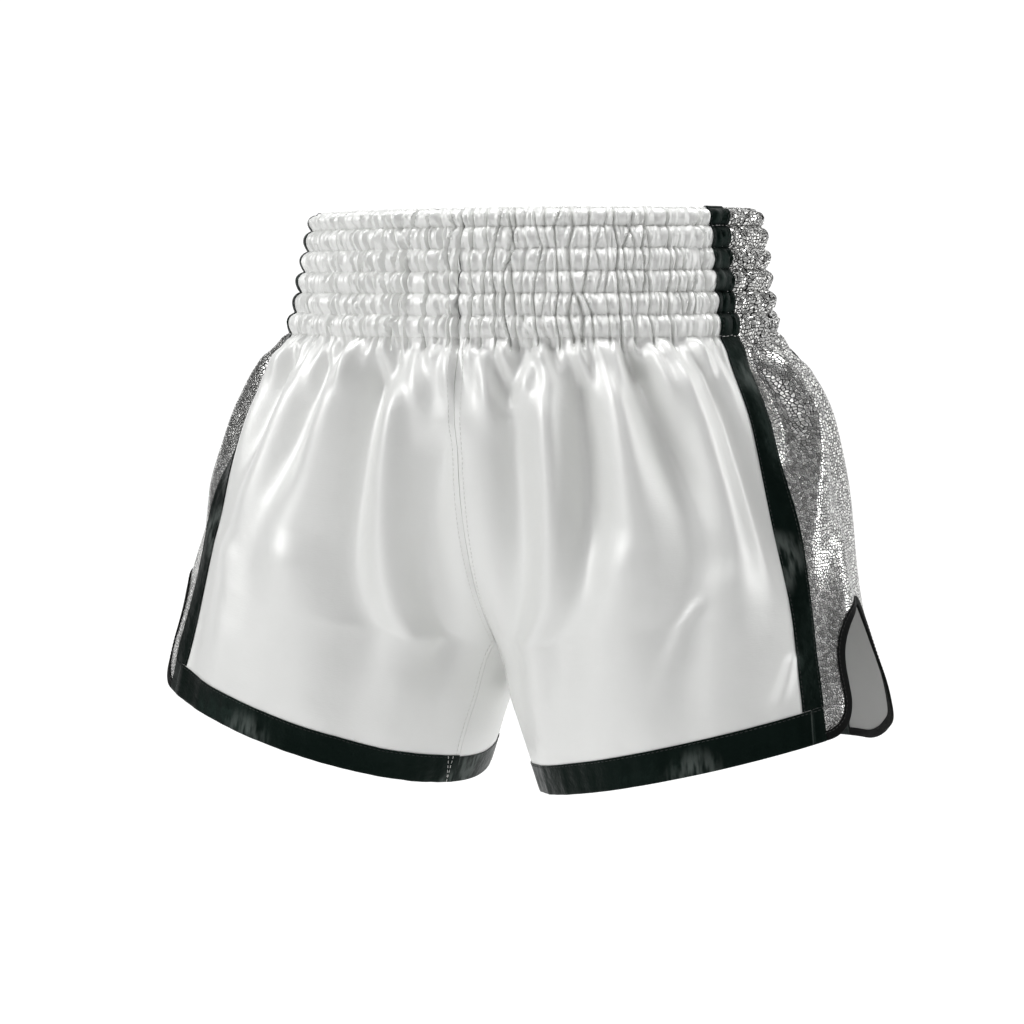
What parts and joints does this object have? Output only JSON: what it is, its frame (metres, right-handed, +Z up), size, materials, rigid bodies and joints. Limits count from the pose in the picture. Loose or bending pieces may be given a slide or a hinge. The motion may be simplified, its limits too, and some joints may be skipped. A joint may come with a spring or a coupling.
{
  "type": "boxing shorts",
  "caption": "Muay-Thai-cut boxing shorts with a wide shirred waistband, contrast side panels, taped seams and hems, and rounded side vents.",
  "frame": {"origin": "the middle of the waist opening, level with the waist's top edge", "axes": "+X towards the wearer's left, -Y towards the front, +Z up towards the wearer's chest"},
  "size_m": [0.4814, 0.2362, 0.3613],
  "materials": {
    "white_satin": "smooth white satin, soft broad highlights",
    "silver_foil": "silver foil crackled into small pebbles over a dark ground, light grey knit back",
    "black_satin": "glossy black satin ribbon with a faint green cast",
    "black_binding": "narrow matt black folded tape",
    "elastic": "off-white ribbed woven elastic"
  },
  "bodies": {
    "root": {"front_panel_left": "white_satin", "back_panel_left": "white_satin", "side_panel_left": "silver_foil", "trim_front_left": "black_satin", "trim_back_left": "black_satin", "hem_band_front_left": "black_satin", "hem_band_back_left": "black_satin", "hem_band_gusset_left": "black_satin", "vent_binding_left": "black_binding", "front_panel_right": "white_satin", "back_panel_right": "white_satin", "side_panel_right": "silver_foil", "trim_front_right": "black_satin", "trim_back_right": "black_satin", "hem_band_front_right": "black_satin", "hem_band_back_right": "black_satin", "hem_band_gusset_right": "black_satin", "vent_binding_right": "black_binding", "crotch_gusset": "white_satin", "elastic_band_1": "elastic", "elastic_band_2": "elastic", "elastic_band_3": "elastic", "elastic_band_4": "elastic", "elastic_band_5": "elastic", "elastic_band_6": "elastic", "waist_facing": "white_satin"}
  },
  "joints": []
}
